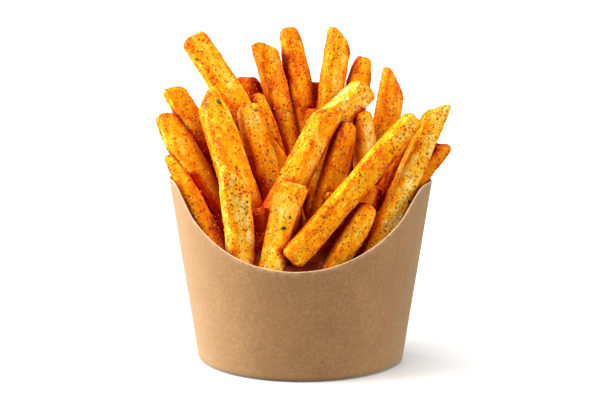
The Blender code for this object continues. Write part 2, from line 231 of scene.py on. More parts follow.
# Other spice: how many there are of each kind, and their sizes in millimetres
HERBS = 46
HERB_SIZES = (0.7, 2.0)
PEPPERS = 60
PEPPER_SIZES = (0.18, 0.36)
GRAINS = 7500
GRAIN_SIZES = (0.12, 0.34)
CRUMBS = 1600
CRUMB_SIZES = (0.28, 0.55)
CRUMB_TONES = (0.2, 0.9)

# Where spice lies: how high from, and the share of places that may face another fry
SPICE_FROM = 0.048
OPEN_START = 0.0004
SHELTERED_SHARE = 0.2
SPIN = (0.0, 6.28)

# Form of one grain, in shares of its size: height and width of its two rings, and how deep
# it is sunk
GRAIN_SIDES = 5
GRAIN_RINGS = ((-0.4, 0.8), (0.35, 0.9))
GRAIN_UNEVEN = (0.7, 1.25)
GRAIN_TOP = (0.6, 1.0)
GRAIN_SUNK = 0.8
PLAIN_TONE = 0.5

# Form of one herb flake
FLAKE_SIDES = 9
FLAKE_CURL = (0.10, 0.35)
FLAKE_SLIM = (0.35, 0.75)
FLAKE_TONE = (0.2, 1.0)
FLAKE_TORN = (0.65, 1.2)
FLAKE_LIFT = 0.00012
FLAKE_THICK = 0.00006


# Shader writing

class Field:
    """A value that varies over a surface. Its operators add Math nodes."""

    def __init__(self, finish, socket):
        self.finish = finish
        self.socket = socket

    def maths(self, operation, *values, clamp=False):
        settings = {"operation": operation, "use_clamp": clamp}
        return self.finish.node("ShaderNodeMath", settings, dict(enumerate(values)))

    def __add__(self, other):
        return self.maths("ADD", self, other)

    def __radd__(self, other):
        return self.maths("ADD", other, self)

    def __sub__(self, other):
        return self.maths("SUBTRACT", self, other)

    def __rsub__(self, other):
        return self.maths("SUBTRACT", other, self)

    def __mul__(self, other):
        return self.maths("MULTIPLY", self, other)

    def __rmul__(self, other):
        return self.maths("MULTIPLY", other, self)

    def less_than(self, other):
        return self.maths("LESS_THAN", self, other)

    def held(self):
        """The same value kept between 0 and 1."""
        return self.maths("ADD", self, 0.0, clamp=True)

    def rise(self, low, high):
        """0 below low, 1 above high, and a smooth step between them."""
        settings = {"interpolation_type": "SMOOTHSTEP"}
        sockets = {"Value": self, "From Min": low, "From Max": high}
        return self.finish.node("ShaderNodeMapRange", settings, sockets)


class Finish:
    """One material: its shader, and the nodes that feed it."""

    def __init__(self, name, **constants):
        self.material = bpy.data.materials.new(name)
        self.material.use_nodes = True
        self.tree = self.material.node_tree
        self.shader = self.tree.nodes["Principled BSDF"]
        for socket, value in constants.items():
            self.shader.inputs[socket.replace("_", " ")].default_value = value

    def node(self, kind, settings=None, sockets=None, out=0):
        made = self.tree.nodes.new(kind)
        for name, value in (settings or {}).items():
            if name == "stops":
                self.set_stops(made.color_ramp, value)
            else:
                setattr(made, name, value)
        for name, value in (sockets or {}).items():
            self.feed(made.inputs[name], value)
        return Field(self, made.outputs[out])

    def feed(self, socket, value):
        if isinstance(value, Field):
            self.tree.links.new(value.socket, socket)
        else:
            socket.default_value = value

    def set_stops(self, ramp, stops):
        while len(ramp.elements) < len(stops):
            ramp.elements.new(0.5)
        for element, (place, colour) in zip(ramp.elements, stops):
            element.position = place
            element.color = (*colour, 1.0)

    def mark(self, name, out=2):
        """A value that the mesh carries: 2 reads a number and 1 a vector."""
        return self.node("ShaderNodeAttribute", {"attribute_name": name}, {}, out)

    def place(self):
        """Where the point is on the object, in metres."""
        return self.node("ShaderNodeTexCoord", {}, {}, 3)

    def stretched(self, vector, across, along):
        """Scales a place across and along the grain. Less than 1 draws a pattern out."""
        settings = {"operation": "MULTIPLY"}
        return self.node("ShaderNodeVectorMath", settings, {0: vector, 1: (across, across, along)})

    def cloud(self, vector, scale, detail=2.0, roughness=0.5):
        """Soft noise around 0.5."""
        sockets = {"Vector": vector, "Scale": scale, "Detail": detail, "Roughness": roughness}
        return self.node("ShaderNodeTexNoise", {}, sockets)

    def shifted(self, vector, by, amount):
        """A place pushed by another field, to make a pattern ragged."""
        settings = {"operation": "MULTIPLY_ADD"}
        sockets = {0: by, 1: (amount, amount, amount), 2: vector}
        return self.node("ShaderNodeVectorMath", settings, sockets)

    def cloud_vector(self, vector, scale):
        """The same cloud as three values at once, to push a pattern about."""
        return self.node("ShaderNodeTexNoise", {}, {"Vector": vector, "Scale": scale}, 1)

    def cells(self, vector, scale):
        """Scattered dots: each cell's distance from its middle, and two numbers of its own."""
        near = self.node("ShaderNodeTexVoronoi", {}, {"Vector": vector, "Scale": scale})
        own = self.other(near, 1)
        first = self.node("ShaderNodeSeparateColor", {}, {0: own})
        return near, first, self.other(first, 1)

    def dots(self, vector, scale, radius, vary, soft, share):
        """Dots in the share of the cells that is given, each with a radius of its own."""
        near, own, size = self.cells(vector, scale)
        return (radius + size * vary - near).rise(*soft) * own.less_than(share)

    def other(self, field, out):
        """Another output of the node that gives a field."""
        return Field(self, field.socket.node.outputs[out])

    def tinted(self, share, first, second, blend="MIX"):
        """The first colour with a share of the second."""
        settings = {"data_type": "RGBA", "blend_type": blend, "clamp_factor": True}
        colours = {6: first, 7: second}
        for key, value in colours.items():
            if not isinstance(value, Field):
                colours[key] = (*value, 1.0)
        return self.node("ShaderNodeMix", settings, {0: share, **colours}, 2)

    def ramp(self, value, stops):
        return self.node("ShaderNodeValToRGB", {"stops": stops}, {0: value})

    def relief(self, height, strength, distance):
        sockets = {"Height": height, "Strength": strength, "Distance": distance}
        return self.node("ShaderNodeBump", {}, sockets)

    def cover(self, **fields):
        """Feeds the shader's sockets, and gives the finished material."""
        for socket, value in fields.items():
            self.feed(self.shader.inputs[socket.replace("_", " ")], value)
        return self.material


# Finishes

def crisp_potato():
    """Golden fried skin: toasted edges and ends, spice specks, pale blisters, a film of oil."""
    finish = Finish("crisp potato", Subsurface_Weight=0.15, Subsurface_Radius=(1.0, 0.30, 0.05),
                    Subsurface_Scale=0.0014, Specular_IOR_Level=0.03, Coat_Roughness=0.20)
    grain = finish.mark("grain", 1)
    names = ("edge", "end", "toasted", "dusted", "crowded")
    edge, end, toasted, dusted, crowded = (finish.mark(name) for name in names)
    broad = finish.cloud(finish.stretched(grain, 1.0, 0.6), 0.11, 2.0)
    patch = finish.cloud(finish.stretched(grain, 1.0, 0.5), 0.38, 3.0, 0.6)
    fine = finish.cloud(grain, 1.5, 3.0, 0.65)
    streak = finish.cloud(finish.stretched(grain, 1.0, 0.18), 1.0, 3.0, 0.6)
    # Painted shade: toast rises where other fries hide the sky, and on fries set darker as lying in shade
    toast = (toasted * 0.58 + dusted * 0.14 + (broad - 0.5) * 0.90 + (patch - 0.5) * 1.20
             + (fine - 0.5) * 0.45 + (streak - 0.5) * 0.45 + crowded * 0.35
             + edge * patch.rise(0.30, 0.62) * 0.24 + end * fine.rise(0.30, 0.70) * 0.32 - 0.03)
    toast = toast * 0.86 + 0.14
    skin = finish.ramp(toast.held(), (
        (0.00, (1.00, 0.78, 0.280)),
        (0.12, (1.00, 0.65, 0.110)),
        (0.24, (1.00, 0.53, 0.028)),
        (0.38, (1.00, 0.40, 0.002)),
        (0.57, (0.95, 0.25, 0.001)),
        (0.78, (0.70, 0.100, 0.001)),
        (1.00, (0.28, 0.015, 0.000))))
    cluster = finish.cloud(grain, 0.24, 2.0)
    # Spice also lies thicker where other fries stand close
    density = (dusted * 0.90 + (cluster - 0.5) * 2.0 + end * 0.20 + crowded * 0.25).held()
    ragged = finish.shifted(grain, finish.cloud_vector(grain, 2.6), 0.95)
    speck = finish.dots(ragged, 0.80, 0.20, 0.24, (-0.05, 0.07), density)
    dust = finish.dots(ragged, 1.35, 0.22, 0.16, (-0.08, 0.10), density * 1.2)
    char = finish.dots(ragged, 0.36, 0.07, 0.09, (-0.02, 0.03), 0.03 + density * 0.12)
    near_dome, _, size_dome = finish.cells(finish.stretched(ragged, 1.0, 0.7), 0.95)
    dome = (0.52 - near_dome).rise(0.0, 0.34) * (0.25 + density * 0.75) * size_dome
    skin = finish.tinted(dome.rise(0.30, 0.80) * 0.50, skin, (1.00, 0.78, 0.34))
    skin = finish.tinted(dust * 0.75, skin, (0.70, 0.120, 0.001))
    skin = finish.tinted(speck * 0.88, skin, (0.46, 0.042, 0.001))
    skin = finish.tinted(char * 0.92, skin, (0.085, 0.013, 0.002))
    # Painted shade: darkens and reddens the skin where other fries hide the sky
    skin = finish.tinted(crowded.rise(0.12, 0.62), skin, (0.46, 0.045, 0.01), "MULTIPLY")
    height = (fine * 0.60 + patch * 0.7 + streak * 0.55 + dome * 1.1 + speck * 0.35 + dust * 0.25)
    return finish.cover(
        Base_Color=skin,
        Roughness=(0.36 + fine * 0.28 + speck * 0.15),
        Coat_Weight=(patch.rise(0.55, 0.75) * 0.08 + dome * 0.35).held(),
        Normal=finish.relief(height, 0.75, 0.00038))


def shade_dark_potato():
    """Fries and crumbs far down in the carton, painted dark brown and red as the shade deep
    in the heap.
    """
    finish = Finish("deep shade potato", Specular_IOR_Level=0.1)
    place = finish.place()
    lump = finish.cloud(place, 160.0, 4.0, 0.6)
    fleck = finish.cloud(place, 900.0, 2.0)
    colour = finish.ramp((lump * 0.8 + fleck * 0.3).held(), (
        (0.25, (0.05, 0.004, 0.001)),
        (0.55, (0.17, 0.018, 0.001)),
        (0.80, (0.45, 0.080, 0.002))))
    return finish.cover(Base_Color=colour, Roughness=0.35 + lump * 0.4,
                        Normal=finish.relief(lump + fleck * 0.4, 0.8, 0.0006))


def kraft_base(finish, place):
    """The board's mottling, fibres and flecks: a shade from 0, dark, to 1, pale, and a height."""
    mottle = finish.cloud(place, 60.0, 3.0, 0.6)
    fibre = finish.cloud(finish.stretched(place, 1.0, 0.75), 1000.0, 3.0, 0.7)
    cross = finish.cloud(finish.stretched(place, 0.45, 1.0), 1250.0, 3.0, 0.7)
    fleck = finish.dots(place, 520.0, 0.14, 0.14, (0.0, 0.12), 0.10)
    pale = finish.dots(place, 430.0, 0.16, 0.14, (0.0, 0.15), 0.08)
    shade = 0.5 + (mottle - 0.5) * 0.40 + (fibre - 0.5) * 0.90 + (cross - 0.5) * 0.58
    return (shade - fleck * 0.15 + pale * 0.15).held(), fibre + cross * 0.8 + mottle * 0.5


def kraft_board():
    """Plain brown board: fibres, small flecks, rubbed folds, a soft sheen, and a contact shadow
    painted on its foot.
    """
    finish = Finish("kraft board", Specular_IOR_Level=0.30, Sheen_Weight=0.62, Sheen_Roughness=0.6,
                    Sheen_Tint=(1.0, 0.84, 0.58, 1.0))
    place = finish.place()
    shade, fibres = kraft_base(finish, place)
    colour = finish.ramp(shade, (
        (0.00, (0.235, 0.100, 0.028)),
        (0.50, (0.370, 0.172, 0.054)),
        (1.00, (0.570, 0.305, 0.118))))
    worn = finish.mark("worn")
    scuff = (worn * finish.cloud(place, 420.0, 3.0, 0.7).rise(0.38, 0.66)).held()
    colour = finish.tinted(scuff * 0.50, colour, (0.85, 0.58, 0.34))
    # Painted contact shadow: the wall's foot is darkened near the table
    colour = finish.tinted(finish.mark("soiled") * 0.90, colour, (0.030, 0.014, 0.005))
    return finish.cover(Base_Color=colour, Roughness=0.46 + shade * 0.16,
                        Normal=finish.relief(fibres, 0.30, 0.00010))


def cut_board():
    """The paler, layered edge where the board was cut."""
    finish = Finish("cut board edge", Specular_IOR_Level=0.25)
    place = finish.place()
    fibre = finish.cloud(place, 1500.0, 3.0, 0.7)
    patch = finish.cloud(place, 240.0, 2.0)
    colour = finish.ramp((fibre * 0.6 + patch * 0.4).held(), (
        (0.30, (0.50, 0.31, 0.175)),
        (0.70, (0.80, 0.58, 0.40))))
    return finish.cover(Base_Color=colour, Roughness=0.8 + patch * 0.15,
                        Normal=finish.relief(fibre, 0.6, 0.0001))


def dried_herb():
    """Dark green leaf with paler veins."""
    finish = Finish("dried herb", Specular_IOR_Level=0.3)
    tone = finish.mark("tone")
    vein = finish.cloud(finish.place(), 1800.0, 3.0, 0.6)
    colour = finish.ramp((tone * 0.7 + vein * 0.4).held(), (
        (0.10, (0.010, 0.022, 0.003)),
        (0.50, (0.028, 0.070, 0.005)),
        (0.95, (0.090, 0.150, 0.012))))
    return finish.cover(Base_Color=colour, Roughness=0.6 + vein * 0.3,
                        Normal=finish.relief(vein, 0.7, 0.0001))


def ground_spice():
    """Grains and crumbs from red-brown to golden, by the tone that each carries."""
    finish = Finish("ground spice", Specular_IOR_Level=0.3)
    tone = finish.mark("tone")
    fleck = finish.cloud(finish.place(), 2400.0, 2.0)
    colour = finish.ramp((tone * 0.85 + fleck * 0.2).held(), (
        (0.05, (0.320, 0.028, 0.001)),
        (0.40, (0.600, 0.080, 0.002)),
        (0.70, (0.900, 0.220, 0.005)),
        (0.95, (1.000, 0.500, 0.050))))
    return finish.cover(Base_Color=colour, Roughness=0.55 + fleck * 0.3,
                        Normal=finish.relief(fleck, 0.6, 0.0001))


def cracked_pepper():
    """Nearly black, with brown flecks."""
    finish = Finish("cracked pepper", Specular_IOR_Level=0.4)
    fleck = finish.cloud(finish.place(), 2000.0, 3.0, 0.6)
    colour = finish.ramp(fleck, (
        (0.35, (0.012, 0.006, 0.003)),
        (0.70, (0.090, 0.040, 0.014))))
    return finish.cover(Base_Color=colour, Roughness=0.5 + fleck * 0.4,
                        Normal=finish.relief(fleck, 0.8, 0.00015))


def table_top():
    """Even, pale and dull."""
    finish = Finish("pale table", Specular_IOR_Level=0.2, Roughness=0.9)
    haze = finish.cloud(finish.place(), 3.0, 2.0)
    colour = finish.tinted(haze, (0.78, 0.78, 0.78), (0.81, 0.81, 0.81))
    return finish.cover(Base_Color=colour)


# Mesh building

def make_piece(name, points, faces, finishes, marks=None, face_finish=None):
    """Makes a smooth mesh object from arrays. Its marks are numbers or vectors by point."""
    mesh = bpy.data.meshes.new(name)
    mesh.from_pydata(points, [], faces)
    for title, values in (marks or {}).items():
        flat = np.asarray(values, dtype=np.float32)
        kind = "FLOAT_VECTOR" if flat.ndim == 2 else "FLOAT"
        layer = mesh.attributes.new(title, kind, "POINT")
        layer.data.foreach_set("vector" if flat.ndim == 2 else "value", flat.ravel())
    for finish in finishes:
        mesh.materials.append(finish)
    if face_finish is not None:
        mesh.polygons.foreach_set("material_index", np.asarray(face_finish, dtype=np.int32))
    mesh.polygons.foreach_set("use_smooth", np.ones(len(mesh.polygons), dtype=bool))
    mesh.update()
    mesh.validate()
    piece = bpy.data.objects.new(name, mesh)
    bpy.context.scene.collection.objects.link(piece)
    return piece


def ring_faces(rings, around, start=0):
    """Quads that join each ring of points to the next."""
    faces = []
    for i in range(rings - 1):
        low = start + i * around
        for j in range(around):
            k = (j + 1) % around
            faces.append((low + j, low + k, low + around + k, low + around + j))
    return faces


def end_faces(rings, around, start=0):
    """One face on the first ring of points and one on the last, both looking out."""
    last = start + (rings - 1) * around
    return [tuple(reversed(range(start, start + around))), tuple(range(last, last + around))]


# Carton

def wall_point(share, z, front, inset):
    """A point of the front or back panel, so far along it and up it, and so far in."""
    growth = 1.0 + z / APEX_BELOW
    radius = ARC_RADIUS * growth - inset
    angle = share * math.acos(ARC_SHIFT * growth / radius)
    out = radius * math.cos(angle) - ARC_SHIFT * growth
    return Vector((radius * math.sin(angle), -out if front else out, z))


def front_rim(share):
    """How high the front panel is: a deep scoop that turns up into shoulders at the folds."""
    scoop = RIM_FRONT + RIM_SCOOP * abs(share) ** RIM_SCOOP_POWER
    turn = (abs(share) - SHOULDER_START) / (SHOULDER_END - SHOULDER_START)
    turn = min(1.0, max(0.0, turn))
    turn = turn * turn * (3.0 - 2.0 * turn)
    return scoop + (RIM_FOLD - scoop) * turn


def back_rim(share):
    """How high the back panel is: an arch from fold to fold."""
    arch = max(0.0, math.cos(share * math.pi / 2.0)) ** RIM_BACK_POWER
    return RIM_FOLD + (RIM_BACK - RIM_FOLD) * arch


def rim_height(share, front):
    return front_rim(share) if front else back_rim(share)


def around_carton(steps):
    """Places once around the carton, each a share and whether it is on the front panel."""
    front = [(-1.0 + 2.0 * i / steps, True) for i in range(steps)]
    back = [(1.0 - 2.0 * i / steps, False) for i in range(steps)]
    return front + back


def card_relief(point, share):
    """How far the card is pushed in beside its side folds and by its faint waves."""
    beside = (1.0 - abs(share)) / CREASE_REACH
    crease = CREASE_DEPTH * math.exp(-(beside - 1.0) ** 2 * CREASE_SHARPNESS)
    wave = CARD_WAVE * noise.noise(point * CARD_WAVES_PER_METRE)
    wave *= min(1.0, point.z / CARD_WAVE_FROM)
    return crease + wave


def lap_height(share, front):
    """The glued lap on the back panel, one thin layer proud with a soft step."""
    if front:
        return 0.0
    rise_in = min(1.0, max(0.0, (share - LAP_FROM) / LAP_STEP))
    rise_out = min(1.0, max(0.0, (LAP_TO - share) / LAP_FADE))
    return LAP_RAISE * rise_in * rise_out


def flap_ring(places, z):
    """The outline of the back flap, which the front flap leaves one board higher."""
    fold = wall_point(1.0, 0.0, True, 0.0).x
    chord = [wall_point(share, 0.0, False, FLAP_MARGIN) for share, front in places if not front]
    reach = max(abs(point.x) for point in chord if point.y > FLAP_EDGE)
    ring = []
    for share, front in places:
        point = wall_point(share, 0.0, False, FLAP_MARGIN)
        if front or point.y < FLAP_EDGE:
            across = wall_point(share, 0.0, front, 0.0).x / fold
            point = Vector((across * reach, FLAP_EDGE, 0.0))
        ring.append(Vector((point.x, point.y, z)))
    return ring


def outside_ring(places, t):
    """One level of the outer face, from the base fold at 0 to the rim at 1."""
    ring = []
    for share, front in places:
        top = rim_height(share, front) - EDGE_ROUND
        point = wall_point(share, BASE_ROUND + (top - BASE_ROUND) * t, front, 0.0)
        inset = card_relief(point, share) - lap_height(share, front)
        ring.append(wall_point(share, point.z, front, inset))
    return ring


def rim_ring(places, turn):
    """The cut edge, rounded over from the outer face at 0 to the inner face at 1."""
    ring = []
    inset = BOARD * (0.5 - 0.5 * math.cos(turn * math.pi))
    lift = EDGE_ROUND * (math.sin(turn * math.pi) - 1.0)
    for share, front in places:
        top = rim_height(share, front)
        ragged = CUT_WAVE * noise.noise(Vector((share * CUT_WAVES, turn, front)))
        ring.append(wall_point(share, top + lift + ragged, front, inset))
    return ring


def inside_ring(places, t):
    """One level of the inner face, from the rim at 0 to the floor at 1."""
    ring = []
    for share, front in places:
        top = rim_height(share, front) - EDGE_ROUND
        ring.append(wall_point(share, top + (FLOOR - top) * t, front, BOARD))
    return ring


def base_ring(places, turn):
    """The fold between wall and underside, from the flat at 0 to the wall at 1."""
    inset = BASE_ROUND * (1.0 - math.sin(turn * math.pi / 2.0))
    z = BASE_ROUND * (1.0 - math.cos(turn * math.pi / 2.0))
    return [wall_point(share, z, front, inset) for share, front in places]


def rubbed(places, ring):
    """How rubbed the board is: at its cut edge and its side folds."""
    marks = []
    for (share, front), point in zip(places, ring):
        top = rim_height(share, front)
        near_rim = math.exp(-abs(top - point.z) / RUB_REACH)
        near_fold = math.exp(-(1.0 - abs(share)) / FOLD_REACH)
        marks.append(min(1.0, near_rim + near_fold))
    return marks


def soiled(ring):
    """How dark the wall is painted as a contact shadow, which falls only close to what the carton stands
    on.
    """
    return [math.exp(-(point.z / CONTACT_SHADE_REACH) ** 2) for point in ring]


def make_carton(board, edge):
    """The folded board: underside flaps, outer face, rounded cut edge and inner face."""
    places = around_carton(PANEL_STEPS)
    around = len(places)
    underside = [flap_ring(places, FLAP_STEP), flap_ring(places, 0.0)]
    outside = [base_ring(places, i / BASE_TURNS) for i in range(BASE_TURNS)]
    outside += [outside_ring(places, i / WALL_ROWS) for i in range(WALL_ROWS + 1)]
    rim = [rim_ring(places, i / RIM_TURNS) for i in range(1, RIM_TURNS)]
    inside = [inside_ring(places, i / WALL_ROWS) for i in range(WALL_ROWS + 1)]
    rings = underside + outside + rim + inside
    first_cut = len(underside) + len(outside) - 1
    last_cut = first_cut + len(rim) + 1
    worn = [mark for ring in rings for mark in rubbed(places, ring)]
    # Painted contact shadow: a little on the underside, and on the wall the more the nearer it is to the
    # table
    foot_shade = [UNDERSIDE_CONTACT_SHADE] * (len(underside) * around)
    foot_shade += [mark for ring in rings[len(underside):] for mark in soiled(ring)]
    faces = ring_faces(len(rings), around)
    cut = [int(first_cut <= face // around < last_cut) for face in range(len(faces))]
    points = [point for ring in rings for point in ring]
    faces += end_faces(len(rings), around)
    return make_piece("carton_board", points, faces, (board, edge), {"worn": worn, "soiled": foot_shade},
                      cut + [0, 0])


# Fries

def seen(across, up, near):
    """Turns a place in the picture, and how near it is, into the carton's axes."""
    right = Vector((math.cos(VIEW_TURN), math.sin(VIEW_TURN), 0.0))
    rise = math.sin(VIEW_RISE)
    level = math.cos(VIEW_RISE)
    towards = Vector((math.sin(VIEW_TURN) * level, -math.cos(VIEW_TURN) * level, rise))
    upwards = Vector((-math.sin(VIEW_TURN) * rise, math.cos(VIEW_TURN) * rise, level))
    shrink = (VIEW_DISTANCE - near * MM) / VIEW_DISTANCE
    return AIM + (right * across + upwards * up) * MM * shrink + towards * near * MM


def beyond_wall(point, reach):
    """How far a fry of this reach is through the wall at a point, and the way back in."""
    growth = 1.0 + point.z / APEX_BELOW
    fold = math.acos(ARC_SHIFT / ARC_RADIUS)
    worst = 0.0
    way = Vector((0.0, 0.0, 0.0))
    for front in (True, False):
        facing = -1.0 if front else 1.0
        arm = Vector((point.x, point.y + facing * ARC_SHIFT * growth, 0.0))
        excess = arm.length + reach + GAP + BOARD - ARC_RADIUS * growth
        share = math.atan2(arm.x, arm.y * facing) / fold
        share = max(-1.0, min(1.0, share))
        if excess > worst and point.z < rim_height(share, front) + RIM_MARGIN:
            worst = excess
            way = -arm.normalized()
    return worst, way


def lean_in(foot, tip, reach):
    """Moves a fry's foot and tip until none of it is through the wall."""
    for _ in range(LEAN_ROUNDS):
        settled = True
        for i in range(LEAN_STATIONS + 1):
            t = i / LEAN_STATIONS
            excess, way = beyond_wall(foot.lerp(tip, t), reach)
            if excess > 0.0:
                settled = False
                foot = foot + way * excess * (1.0 - t)
                tip = tip + way * excess * t
        if settled:
            break
    return foot, tip


def skin_profile(length, side):
    """Heights along a fry and the share of its width there, from foot cap to tip cap."""
    round_off = END_ROUND * side
    inset = 2.0 * END_ROUND
    turn = [(math.sin(a), math.cos(a)) for a in np.linspace(0.0, math.pi / 2.0, END_RINGS)]
    end = [(length - round_off * (1.0 - s), 1.0 - inset * (1.0 - c)) for s, c in turn]
    cap = [(length, end[-1][1] * share) for share in reversed(CAP_SHARES)]
    tip = end + cap
    body = [(z, 1.0) for z in np.linspace(round_off, length - round_off, SKIN_ALONG)[1:-1]]
    foot = [(length - z, share) for z, share in reversed(tip)]
    return foot + body + tip


Skin = namedtuple("Skin", "points outward marks rings")


def around_skin():
    """The angle of each point around a fry. Its left is at 0 and its front a quarter on."""
    angle = np.arange(SKIN_AROUND) * 2.0 * math.pi / SKIN_AROUND
    return angle, np.cos(angle), np.sin(angle)


def along_skin(values):
    """Gives each ring's value to all the points around it."""
    return np.repeat(values[:, None], SKIN_AROUND, axis=1)


def straight_fry(profile, side, depth, square, sunk):
    """A fry's points while it is still straight and square: x is its left and y its front."""
    angle, left, front = around_skin()
    reach = (np.abs(left) ** square + np.abs(front) ** square) ** (-1.0 / square)
    reach = reach * (1.0 - sunk * np.cos(2.0 * angle) ** 4)
    x = np.outer(profile[:, 1], left * reach * side / 2.0)
    y = np.outer(profile[:, 1], front * reach * depth / 2.0)
    return x, y, along_skin(profile[:, 0])


def bent_fry(x, y, z, length, side, cut, taper, bow, shakes):
    """Tapers a fry, cuts its end at a slant, and makes it uneven and bowed."""
    t = z / length
    beyond = np.maximum(0.0, t - TAPER_START) / (1.0 - TAPER_START)
    thin = 1.0 - (1.0 - taper) * beyond ** TAPER_POWER
    slant = math.tan(math.radians(cut)) * x * np.maximum(0.0, t - CUT_START) / (1.0 - CUT_START)
    knots = np.linspace(0.0, 1.0, len(shakes))
    shake_x, shake_y = (np.interp(t, knots, [shake[axis] * UNEVEN * side for shake in shakes])
                        for axis in (0, 1))
    x = x * thin + shake_x + bow * MM * 4.0 * t * (1.0 - t)
    y = y * thin + shake_y
    return np.stack((x, y, z - slant), axis=2).reshape(-1, 3)


def skin_ways(profile, length):
    """The way out of the skin at each point."""
    _, left, front = around_skin()
    axial = along_skin(np.sign(profile[:, 0] - length / 2.0) * (1.0 - profile[:, 1]))
    radial = 1.0 - np.abs(axial)
    return np.stack((left * radial, front * radial, axial), axis=2).reshape(-1, 3)


def uneven_skin(points, own, ways, ends):
    """Lets the skin swell, sink and wrinkle along its length."""
    moved = []
    shift = Vector(own)
    for point, way, end in zip(points, ways, ends):
        at = Vector((point[0], point[1], point[2] * STRETCH)) / MM + shift
        push = sum(high * noise.noise(at / wave) for wave, high in SKIN_WAVES)
        push *= MM * (1.0 + ROUGHER_ENDS * end)
        moved.append([part + step * push for part, step in zip(point, way)])
    return moved


def skin_edges(profile):
    """1 along a fry's four corners and around its ends, and 0 on its faces."""
    angle, _, _ = around_skin()
    corner = np.abs(np.sin(2.0 * angle)) ** CORNER_POWER
    rounding = np.clip((1.0 - profile[:, 1]) * CAP_EDGE, 0.0, 1.0)
    return np.maximum(corner[None, :], rounding[:, None]).ravel()


def browned_ends(profile, length):
    """How much the heat has browned each point: most at the tip, then at the foot."""
    from_tip = (length - profile[:, 0]) / MM
    from_foot = profile[:, 0] / MM
    brown = np.exp(-from_tip / TIP_BROWN) + FOOT_BROWN_SHARE * np.exp(-from_foot / FOOT_BROWN)
    return along_skin(np.clip(brown, 0.0, 1.0)).ravel()


def dusting(rings, dust_front, dust_left, dust_back, dust_right):
    """How thickly each point is dusted, from the amounts on the fry's four sides."""
    _, left, front = around_skin()
    shown = np.maximum(0.0, front) ** 2 * dust_front + np.maximum(0.0, left) ** 2 * dust_left
    other = np.maximum(0.0, -front) ** 2 * dust_back + np.maximum(0.0, -left) ** 2 * dust_right
    return np.tile(shown + other, rings)


def stood_up(foot, tip, facing, roll):
    """The turn and move that bring a fry from the origin to its own foot and tip."""
    along = (tip - foot).normalized()
    across = along.cross(-facing).normalized()
    turn = Matrix((across, along.cross(across), along)).transposed().to_4x4()
    return Matrix.Translation(foot) @ turn @ Matrix.Rotation(roll, 4, "Z")


def make_skin(tip, foot, shape, facing, rings, rng, own_rng):
    """One fry's skin in the carton's axes, with what it carries at each point."""
    name, width, roll, cut, taper, bow, toasted, dust_front, dust_left = shape
    roll = math.radians(roll)
    side = PLUMP * width * MM / (abs(math.cos(roll)) + TURNED_SHARE * abs(math.sin(roll)))
    if name not in OVER_RIM:
        foot, tip = lean_in(foot, tip, side * REACH_SHARE)
    length = (tip - foot).length
    depth = side * rng.uniform(FLATTEST, FULLEST)
    shakes = [(rng.uniform(-1, 1), rng.uniform(-1, 1)) for _ in range(rings + 1)]
    square = own_rng.uniform(*SQUARENESS)
    sunk = own_rng.uniform(*SUNK_FACES)
    dust_right = own_rng.uniform(*RIGHT_DUST)
    dust_back = own_rng.uniform(*BACK_DUST)
    own = [own_rng.uniform(0.0, PATTERN_RANGE) for _ in range(3)]

    profile = np.array(skin_profile(length, side))
    straight = straight_fry(profile, side, depth, square, sunk)
    bent = bent_fry(*straight, length, side, cut, taper, bow, shakes)
    ways = skin_ways(profile, length)
    ends = browned_ends(profile, length)
    points = uneven_skin(bent, own, ways, ends)
    turn = stood_up(foot, tip, facing, roll)
    outward = [(turn.to_3x3() @ Vector(way)).normalized() for way in ways]
    marks = {
        "grain": np.asarray(points) / MM + np.asarray(own),
        "edge": skin_edges(profile),
        "end": ends,
        "toasted": np.full(len(points), toasted),
        "dusted": dusting(len(profile), dust_front, dust_left, dust_back, dust_right)}
    return Skin([turn @ Vector(point) for point in points], outward, marks, len(profile))


def sky_rays():
    """Directions spread over the half sky above a surface, most of them steep."""
    rays = []
    for i in range(GAP_SHADE_RAYS):
        reach = math.sqrt((i + 0.5) / GAP_SHADE_RAYS)
        turn = i * math.pi * (3.0 - math.sqrt(5.0))
        rays.append((reach * math.cos(turn), reach * math.sin(turn), math.sqrt(1.0 - reach * reach)))
    return rays


def shut_in(tree, at, out, rays):
    """The share of the half sky that fries hide from a point, where the nearest count most."""
    side = out.orthogonal().normalized()
    other = out.cross(side)
    start = at + out * GAP_SHADE_START
    hidden = 0.0
    for u, v, w in rays:
        distance = tree.ray_cast(start, side * u + other * v + out * w, GAP_SHADE_REACH)[3]
        if distance is not None:
            hidden += 1.0 - distance / GAP_SHADE_REACH
    return hidden / len(rays)


def painted_gap_shade(tree, skin, rays):
    """How much shade to paint on a skin where fries stand close round it, worked out at some
    points and spread between.
    """
    levels = list(range(0, skin.rings - 1, GAP_SHADE_RINGS)) + [skin.rings - 1]
    sides = list(range(0, SKIN_AROUND, SKIN_AROUND // GAP_SHADE_SIDES))
    coarse = []
    for level in levels:
        spots = [level * SKIN_AROUND + side for side in sides]
        row = [shut_in(tree, skin.points[spot], skin.outward[spot], rays) for spot in spots]
        coarse.append(row + row[:1])
    along = np.array([np.interp(range(skin.rings), levels, column) for column in zip(*coarse)])
    turned = sides + [SKIN_AROUND]
    return np.array([np.interp(range(SKIN_AROUND), turned, row) for row in along.T]).ravel()


def tree_of(skins):
    """All the fries' faces as one tree, for casting rays."""
    points = []
    faces = []
    for skin in skins:
        faces += ring_faces(skin.rings, SKIN_AROUND, len(points))
        points += skin.points
    return BVHTree.FromPolygons(points, faces)


def heap_of(title, skins, finish):
    """Joins fries into one piece."""
    points = []
    faces = []
    for skin in skins:
        faces += ring_faces(skin.rings, SKIN_AROUND, len(points))
        faces += end_faces(skin.rings, SKIN_AROUND, len(points))
        points += skin.points
    marks = {name: np.concatenate([skin.marks[name] for skin in skins]) for name in skins[0].marks}
    return make_piece(title, points, faces, (finish,), marks)


